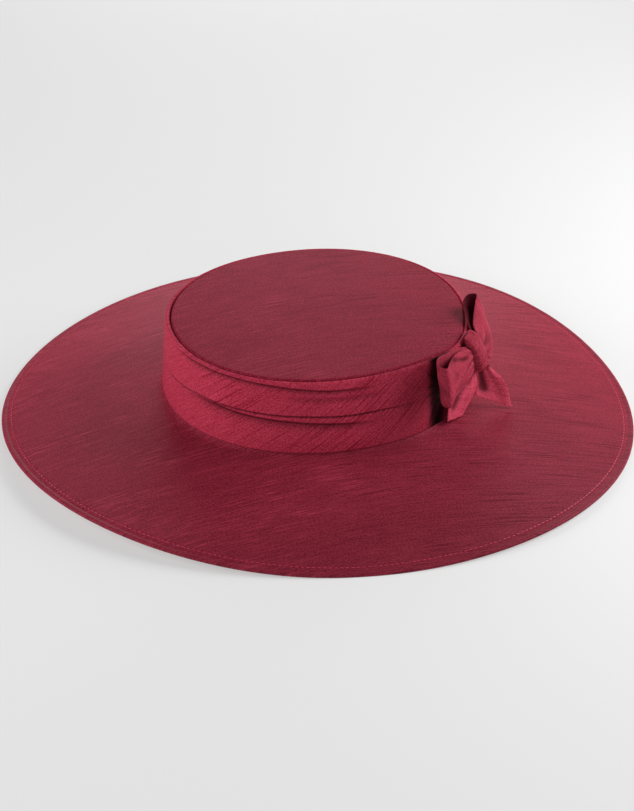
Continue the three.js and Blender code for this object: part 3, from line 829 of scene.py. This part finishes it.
# Creases: deep is the groove and over the swell above it, in millimetres. wide and under are the groove's
# widths above and below its line and overWide the swell's, in shares of the band's height. line is how much
# darker painted shade makes the cloth in the crease's line.
creases = [
    {"name": "top roll", "from": -158, "to": -100, "fade": 12,
     "path": [(-190, 0.96), (-139, 0.95), (-126, 0.935), (-114, 0.905), (-103, 0.875), (-86, 0.87)],
     "deep": 1.3, "wide": 0.014, "under": 0.05, "over": 0.25, "overWide": 0.03, "line": 0.5},
    {"name": "upper hollow", "from": -108, "to": -92, "fade": 11,
     "path": [(-115, 0.76), (-100, 0.74), (-84, 0.74)],
     "deep": 0.9, "wide": 0.05, "under": 0.05, "over": 0, "overWide": 0.05, "line": 0},
    {"name": "overlap", "from": -215, "to": -90, "fade": 16,
     "path": [(-215, 0.5), (-177, 0.49), (-156, 0.54), (-113, 0.54), (-97, 0.52), (-81, 0.52), (-70, 0.5)],
     "deep": 1.1, "wide": 0.008, "under": 0.018, "over": 0.7, "overWide": 0.14, "line": 0.6},
    {"name": "hollow under the overlap", "from": -146, "to": -102, "fade": 13,
     "path": [(-148, 0.5), (-138, 0.475), (-127, 0.46), (-118, 0.45), (-110, 0.43), (-97, 0.4), (-84, 0.38)],
     "deep": 1.4, "wide": 0.018, "under": 0.075, "over": 0.4, "overWide": 0.03, "line": 0.5},
    {"name": "back overlap", "from": 0, "to": 145, "fade": 20,
     "path": [(0, 0.53), (150, 0.53)],
     "deep": 0.9, "wide": 0.01, "under": 0.04, "over": 0.5, "overWide": 0.12, "line": 0.4},
]
bandPaintedShade = {
    "creaseLine": 0.012,  # width of a crease's painted dark line, as a share of the band's height
    "groove": 0.6,  # painted shade: how much darker the cloth is in the deepest groove
    "grooveDeep": 1.6,
    "foot": 0.55,  # and where the band's foot meets the brim, also painted shade
    "footWide": 0.02,
    "left": 1.05,  # painted light on the hat's left side, and painted shade near the bow
    "bow": 0.74,
    "from": -12,  # degrees on from that side where the change starts, where it ends, and where the
    "to": 16,  # left side's tone comes back, behind the bow
    "end": 50,
}
gathers = {
    "angle": -56,  # degrees round the hat to the fan's end, before the bow and beyond it
    "farAngle": -20,
    "share": 0.5,  # its middle, as a share of the band's height
    "reach": 34,
    "tall": 0.75,
    "pleats": 15,
    "meet": 7,  # how far behind that end the fan's lines would meet
    "underBow": 12,  # how far the fan runs on under the bow
    "sway": 0.6,
    "swayLong": 9,
    "bandRadius": 96,
    "bandTall": 46,
    "hollowAngle": -55.5,  # hollow between the band and the near loop, darkened with painted shadow
    "hollowWide": 4.9,
    "hollowDeep": 1.3,
    "hollowShade": 0.93,
}


def hollowBesideBow(angle):
    # 1 in the hollow, with steep sides
    return np.exp(-((turnBetween(angle, gathers["hollowAngle"]) / gathers["hollowWide"]) ** 4))


def bandFace(angle, share):
    # Outer face of the band, out from its middle thickness: swells and grooves of each crease, and a fan of
    # gathers that runs to the bow
    face = np.zeros(np.broadcast(angle, share).shape)
    for crease in creases:
        live = fadeBetween(angle, crease["from"], crease["to"], crease["fade"])
        off = share - creaseAt(angle, crease["path"])
        width = np.where(off > 0, crease["wide"], crease["under"])
        face -= live * crease["deep"] * bell(off, width)
        swell = np.exp(-np.maximum(off, 0) / crease["overWide"]) * smoothStep(off, 0, crease["wide"] * 2.5)
        face += live * crease["over"] * swell
    for middle, way in ((gathers["angle"], -1), (gathers["farAngle"], 1)):
        along = turnBetween(angle, middle) * degrees * gathers["bandRadius"] * way
        up = (share - gathers["share"]) * gathers["bandTall"]
        fan = np.arctan2(up, np.maximum(along, 0) + gathers["meet"])
        reach = np.exp(-np.maximum(along, 0) / gathers["reach"]) * (along > -gathers["underBow"])
        sway = gathers["sway"] * np.sin(along / gathers["swayLong"])
        pleat = np.abs(np.sin(fan * gathers["pleats"] / 2 + sway)) ** 0.8 - 0.5
        face += gathers["tall"] * reach * pleat
    face -= gathers["hollowDeep"] * hollowBesideBow(angle)
    # Kept low behind the knot, where the bow is sewn on
    behind = bell(turnBetween(angle, bow["angle"]), band["lowSpread"])
    return np.minimum(face, band["faceHigh"] - band["faceLow"] * behind)


def makeBand():
    # Inner face from its foot up, then the outer face with its folds down again
    n = band["stations"]
    angle = turns(n)[:, None]
    topHeight = crown["top"] - band["edgeDrop"]
    lean = band["lean"] * bell(turnBetween(angle, band["leanAngle"]), band["leanSpread"])
    inner = np.linspace(0, 1, band["innerRows"])[None, :]
    outer = np.linspace(1, 0, band["outerRows"])[None, :]
    footIn = brimTop(angle, np.full_like(angle, bandIn)) + band["lift"]
    footOut = brimTop(angle, np.full_like(angle, bandOut)) + band["lift"]
    toEnd = 0.5 - np.abs(outer - 0.5)
    roll = band["endRound"] * (1 - np.sqrt(1 - np.clip(1 - toEnd / band["endShare"], 0, 1) ** 2))
    face = bandFace(angle, outer)
    innerHeight = footIn * (1 - inner) + (topHeight - 0.3) * inner
    innerOut = bandIn + lean * smoothStep(inner, 0.5, 1) + 0 * angle
    outerHeight = footOut * (1 - outer) + topHeight * outer
    outerOut = bandOut + face * smoothStep(toEnd, 0, band["foldShare"]) - roll
    outerOut = outerOut + lean * smoothStep(outer, 0.5, 1)
    out = np.concatenate([innerOut, outerOut], axis=1)
    height = np.concatenate([innerHeight, outerHeight], axis=1)
    points = atPoints(angle, crownRadius(angle, out, height), height)
    run = np.concatenate([[0], ringRun(points[:, band["runRow"]])])
    seam = int(round((band["seam"] % 360) / 360 * n))
    along = (run[:-1] - run[seam]) % run[-1]
    cloth = np.stack(np.broadcast_arrays(along[:, None], height), axis=-1)
    # Painted shade in the grooves, along each crease's line, at the foot and in the hollow beside the bow
    shade = 1 - bandPaintedShade["groove"] * np.clip(-face / bandPaintedShade["grooveDeep"], 0, 1)
    for crease in creases:
        live = fadeBetween(angle, crease["from"], crease["to"], crease["fade"])
        off = outer - creaseAt(angle, crease["path"])
        line = bell(off + bandPaintedShade["creaseLine"] / 2, bandPaintedShade["creaseLine"])
        shade = shade * (1 - crease["line"] * live * line)
    shade = shade * (1 - bandPaintedShade["foot"] * bell(outer, bandPaintedShade["footWide"]))
    shade = shade * (1 - gathers["hollowShade"] * hollowBesideBow(angle))
    # Painted light that falls off to painted shade towards the near side of the bow
    towards = turnBetween(angle, -90)
    falloff = smoothStep(towards, bandPaintedShade["from"], bandPaintedShade["to"])
    falloff = falloff * smoothStep(bandPaintedShade["end"] - towards, 0, 12)
    shade = shade * (bandPaintedShade["left"] - (bandPaintedShade["left"] - bandPaintedShade["bow"]) * falloff)
    shade = np.concatenate([np.ones_like(innerOut), shade], axis=1)
    piece = makePiece("hatBand", bandSilk, points, gridQuads(n, points.shape[1], True, True), cloth=cloth,
                      wrap=float(run[-1]), shade=shade)
    place(piece, "band_silk", "hat_band")
    return piece


hatBand = makeBand()
print("band made with", ", ".join(crease["name"] for crease in creases))

# Bow
# Rows across each loop: along and lowAlong are shares of its length, out and lowOut of puff, up and low of
# ribbonWide, belly of puff
nearLoopRows = [
    (0.17, 0.17, 0.24, 0.27, 0.34, -0.16, 0),
    (0.39, 0.39, 0.26, 0.43, 0.38, -0.38, 0.01),
    (0.67, 0.67, 0.32, 0.5, 0.5, -0.45, 0.02),
    (0.89, 0.88, 0.45, 0.52, 0.62, -0.42, 0.01),
    (0.97, 0.95, 0.66, 0.49, 0.9, -0.52, 0),
    (0.95, 0.92, 1.04, 0.45, 1.06, -0.56, 0.02),
    (0.76, 0.72, 0.7, 0.42, 0.86, -0.42, 0.1),
    (0.53, 0.5, 0.38, 0.41, 0.66, -0.4, 0.14),
    (0.32, 0.3, 0.36, 0.36, 0.6, -0.34, 0.1),
    (0.17, 0.17, 0.4, 0.2, 0.58, -0.24, 0.02),
]
farLoopRows = [
    (0.195, 0.22, 0.15, 0.36, 0.26, -0.28, 0.02),
    (0.46, 0.5, -0.09, 0.48, 0.22, -0.36, 0.15),
    (0.69, 0.78, -0.19, 0.575, 0.24, -0.28, 0.21),
    (0.87, 0.97, -0.2, 0.63, 0.28, -0.12, 0.19),
    (0.97, 1.06, -0.01, 0.72, 0.42, -0.03, 0.1),
    (0.97, 1.01, 0.29, 0.74, 0.62, -0.06, 0.06),
    (0.78, 0.84, 0.23, 0.66, 0.78, -0.18, 0.08),
    (0.54, 0.58, 0.17, 0.53, 0.85, -0.34, 0.1),
    (0.36, 0.38, 0.17, 0.43, 0.84, -0.4, 0.07),
    (0.195, 0.22, 0.3, 0.34, 0.72, -0.34, 0.02),
]
# Rows down each tail: leftDown and rightDown are shares of its length, left and right of ribbonWide along the
# band, leftOut, rightOut and belly of flare
nearTailRows = [
    (0.28, 0.32, -0.23, -0.01, 0.15, 0.29, 0),
    (0.47, 0.46, -0.57, -0.03, 0.13, 0.33, 0.02),
    (0.6, 0.64, -0.9, -0.07, 0.13, 0.32, 0.03),
    (0.76, 0.86, -0.99, -0.2, 0.15, 0.23, 0.02),
    (0.91, 0.99, -1.02, -0.46, 0.17, 0.19, 0),
]
farTailRows = [
    (0.31, 0.25, 0.12, 0.22, 0.25, 0.52, 0),
    (0.42, 0.385, 0.1, 0.29, 0.26, 0.675, -0.03),
    (0.53, 0.55, 0.07, 0.36, 0.27, 0.86, -0.05),
    (0.62, 0.71, 0.03, 0.39, 0.28, 0.95, -0.03),
    (0.7, 1.01, -0.04, 0.43, 0.32, 1.05, 0.01),
]
# Rows down the knot: up in shares of ribbonWide, along and wide of knotWide, out and thick of knotThick
knotRows = [
    (0.44, 0, 0.12, 0.7, 0.14),
    (0.42, 0, 0.21, 0.95, 0.32),
    (0.33, 0, 0.42, 1.02, 0.72),
    (0.16, 0, 0.58, 1.04, 1.04),
    (0, 0.02, 0.67, 1.03, 1.2),
    (-0.15, 0.04, 0.74, 1, 1.24),
    (-0.27, 0.06, 0.81, 0.96, 1.2),
    (-0.35, 0.08, 0.88, 0.86, 1),
    (-0.41, 0.06, 0.9, 0.74, 0.66),
]


def bowPoint(along, out, up):
    # Along the band from the knot, out from the band's face, and up from the knot's middle
    height = crown["top"] - bow["drop"] + up
    base = np.full_like(np.asarray(along, float), bow["angle"] * degrees)
    angle = base + along / crownRadius(base, bandOut, crown["top"] - bow["drop"])
    return atPoints(angle, crownRadius(angle, bandOut + out, np.minimum(height, crown["top"])), height)


def distanceTo(along, across, fold):
    # Distance on the flat cloth to a fold's line, in millimetres
    start, end = np.array(fold[0:2], float), np.array(fold[2:4], float)
    way = end - start
    share = np.clip(((along - start[0]) * way[0] + (across - start[1]) * way[1]) / (way @ way), 0, 1)
    return np.hypot(along - start[0] - share * way[0], across - start[1] - share * way[1])


def makeRibbon(name, topLine, lowLine, bellies, steps, looped, outward, folds, *nodes):
    # Lines across the ribbon run between two smoothed edges, their middles pushed out by a parabola. Gathers
    # fade away from the knot, and each fold is a bell along its line. The cloth's two faces lie half its
    # thickness to each side, and its long edges are rounded.
    share = np.linspace(0, 1, steps)
    across = bow["acrossRows"]
    top, low, belly = (splineThrough(line, share)[:, None] for line in (topLine, lowLine, bellies))
    s = np.linspace(0, 1, across)[None, :]
    side = s[:, :, None]
    middle = top * (1 - side) + low * side + belly * 4 * side * (1 - side)
    run = np.cumsum(np.linalg.norm(np.gradient(middle, axis=0), axis=-1).mean(1))[:, None]
    fromKnot = np.minimum(run, run[-1] - run) if looped else run
    held = bell(fromKnot, bow["pleatReach"])
    pleat = smoothStep(fromKnot, 0, bow["pleatStart"]) * np.cos(2 * math.pi * bow["pleats"] * s + 0.06 * run)
    short, long = bow["wrinkleLong"]
    wrinkle = (1 - held) * np.sin(run / short + 5 * s) * np.sin(run / long - 7 * s + 1)
    relief = bow["pleatTall"] * held * pleat + bow["wrinkleTall"] * wrinkle
    for fold in folds:
        relief = relief + fold[4] * bell(distanceTo(run, s * bow["ribbonWide"], fold), fold[5])

    def normals(surface):
        return unit(np.cross(np.gradient(surface, axis=0), np.gradient(surface, axis=1)))

    middle = middle + outward * normals(middle) * relief[:, :, None]
    rounded = np.sqrt(np.clip(1 - (2 * side - 1) ** 10, 0.05, 1))
    offset = normals(middle) * bow["ribbonThick"] / 2 * rounded
    points = np.concatenate([middle + offset, (middle - offset)[:, ::-1]], axis=1)
    columns = points.shape[1]
    quads = gridQuads(steps, columns, False, True)
    j = np.arange(across - 1)
    start = np.stack([j, j + 1, columns - 2 - j, columns - 1 - j], axis=1)
    end = (start + (steps - 1) * columns)[:, ::-1]
    wide = np.concatenate([s, s[:, ::-1]], axis=1) * bow["ribbonWide"]
    cloth = np.stack(np.broadcast_arrays(run, wide), axis=-1)
    # Painted shade in the folds' hollows, where the ribbon runs into the knot, and inside the loops
    shade = 1 - bow["foldShade"] * np.clip(-relief / bow["foldDeep"], 0, 1)
    shade = shade * (1 - bow["knotShade"] * bell(fromKnot, bow["knotShadeReach"]))
    inner = bow["innerShade"].get(name, 1) * shade
    faces = (shade, inner) if outward > 0 else (inner, shade)
    shade = np.concatenate([faces[0], faces[1][:, ::-1]], axis=1)
    piece = makePiece(name, bowSilk if looped else paintedLightTailSilk, points, np.concatenate([quads, start, end]),
                      cloth=cloth, shade=shade)
    place(piece, "band_silk", *nodes)
    return piece


def makeLoop(name, rows, long, way, folds, *nodes):
    # way is -1 for the loop towards the hat's front and 1 for the other
    rows = np.array(rows)
    along = way * rows[:, 0] * long
    top = bowPoint(along, rows[:, 2] * bow["puff"], rows[:, 3] * bow["ribbonWide"])
    low = bowPoint(way * rows[:, 1] * long, rows[:, 4] * bow["puff"], rows[:, 5] * bow["ribbonWide"])
    outward = bowPoint(along, 1, 0) - bowPoint(along, 0, 0)
    bellies = outward * rows[:, 6:] * bow["puff"]
    return makeRibbon(name, top, low, bellies, bow["loopRows"], True, way, folds, *nodes)


def makeTail(name, rows, long, folds, *nodes):
    rows = np.array(rows)
    along = rows[:, 2] * bow["ribbonWide"]
    left = bowPoint(along, rows[:, 4] * bow["flare"], -rows[:, 0] * long)
    right = bowPoint(rows[:, 3] * bow["ribbonWide"], rows[:, 5] * bow["flare"], -rows[:, 1] * long)
    outward = bowPoint(along, 1, 0) - bowPoint(along, 0, 0)
    bellies = outward * rows[:, 6:] * bow["flare"]
    return makeRibbon(name, left, right, bellies, bow["tailRows"], False, 1, folds, *nodes)


knot = {
    "rows": 90,
    "round": 96,
    "square": 0.68,  # power that squares the strip's section, which is an oval at 1
    "tuckShade": 0.4,  # painted shade: how much darker its sides are where they turn in
    "creaseShade": 0.8,
    # creases down its face: place across the strip at the top and at the foot, depth and width, all but the
    # depth as shares of its half width
    "creases": [(-0.25, 0.05, 0.22, 0.16), (0.4, 0.6, 0.3, 0.12), (-0.7, -0.5, 0.2, 0.14)],
}


def makeKnot():
    # Squared ovals along a smoothed line down the bow's middle, closed at a pole at each end
    rings, n = knot["rows"], knot["round"]
    share = np.linspace(0, 1, rings)
    line = splineThrough(knotRows, share)
    turn = turns(n)[None, :]
    up, along, out, wide, thick = (line[:, k:k + 1] for k in range(5))

    def squared(value):
        return np.sign(value) * np.abs(value) ** knot["square"]

    acrossShare = squared(np.cos(turn))
    front = smoothStep(np.sin(turn), -0.2, 0.3)
    dent = np.zeros((rings, n))
    for crease in knot["creases"]:
        run = crease[0] + (crease[1] - crease[0]) * share[:, None]
        dent += crease[2] * front * bell(acrossShare - run, crease[3])
    ends = smoothStep(share[:, None], 0, 0.12) * smoothStep(1 - share[:, None], 0, 0.12)
    x = (along + acrossShare * wide / 2) * bow["knotWide"]
    y = (out + squared(np.sin(turn)) * thick / 2) * bow["knotThick"] - dent * ends
    points = bowPoint(x, y, up * bow["ribbonWide"] + 0 * x)
    poles = np.array([points[0].mean(0), points[-1].mean(0)])
    quads = gridQuads(rings, n, False, True)
    j = np.arange(n)
    lastRing = (rings - 1) * n
    first = np.stack([np.full(n, rings * n), j, (j + 1) % n], axis=1)
    last = np.stack([np.full(n, rings * n + 1), lastRing + (j + 1) % n, lastRing + j], axis=1)
    cloth = np.stack(np.broadcast_arrays(up * bow["ribbonWide"], x), axis=-1)
    cloth = np.concatenate([cloth.reshape(-1, 2), np.zeros((2, 2))])
    # Painted shade: darker in the creases, where the strip turns in under its sides, and at its two poles
    tuckShade = knot["tuckShade"] * smoothStep(0.1 - np.sin(turn), 0, 0.5)
    shade = (1 - knot["creaseShade"] * np.clip(dent * ends, 0, 1)) * (1 - tuckShade)
    shade = np.concatenate([shade.ravel(), [0.3, 0.3]])
    piece = makePiece("bowKnot", bowSilk, np.concatenate([points.reshape(-1, 3), poles]), quads,
                      np.concatenate([first, last]), cloth=cloth, shade=shade)
    place(piece, "band_silk", "bow_knot")
    return piece


# Folds pressed into the ribbons: along and across where each starts and ends, then height and width, all in
# millimetres; along runs from the knot and back, and across from the upper edge
nearLoopFolds = [(64, 2, 78, 9, -0.9, 2), (60, 20, 84, 8, 0.6, 2.4), (58, 24, 84, 12, -0.9, 1.2)]
farLoopFolds = [(52, 4, 76, 12, 0.6, 3), (58, 20, 78, 16, -0.6, 2.5)]
nearTailFolds = [(2, 16, 26, 22, 0.8, 2.6), (4, 8, 24, 6, -0.7, 3)]
farTailFolds = [(3, 9, 17, 8, -1.7, 3.4), (3, 22, 30, 24, 0.6, 4)]

bowLoopNear = makeLoop("bowLoopNear", nearLoopRows, bow["nearLoop"], -1, nearLoopFolds, "bow_loop_near")
bowLoopFar = makeLoop("bowLoopFar", farLoopRows, bow["farLoop"], 1, farLoopFolds, "bow_loop_far")
bowTailNear = makeTail("bowTailNear", nearTailRows, bow["nearTail"], nearTailFolds, "bow_tail_near")
bowTailFar = makeTail("bowTailFar", farTailRows, bow["farTail"], farTailFolds, "bow_tail_far")
bowKnot = makeKnot()
print("bow made")
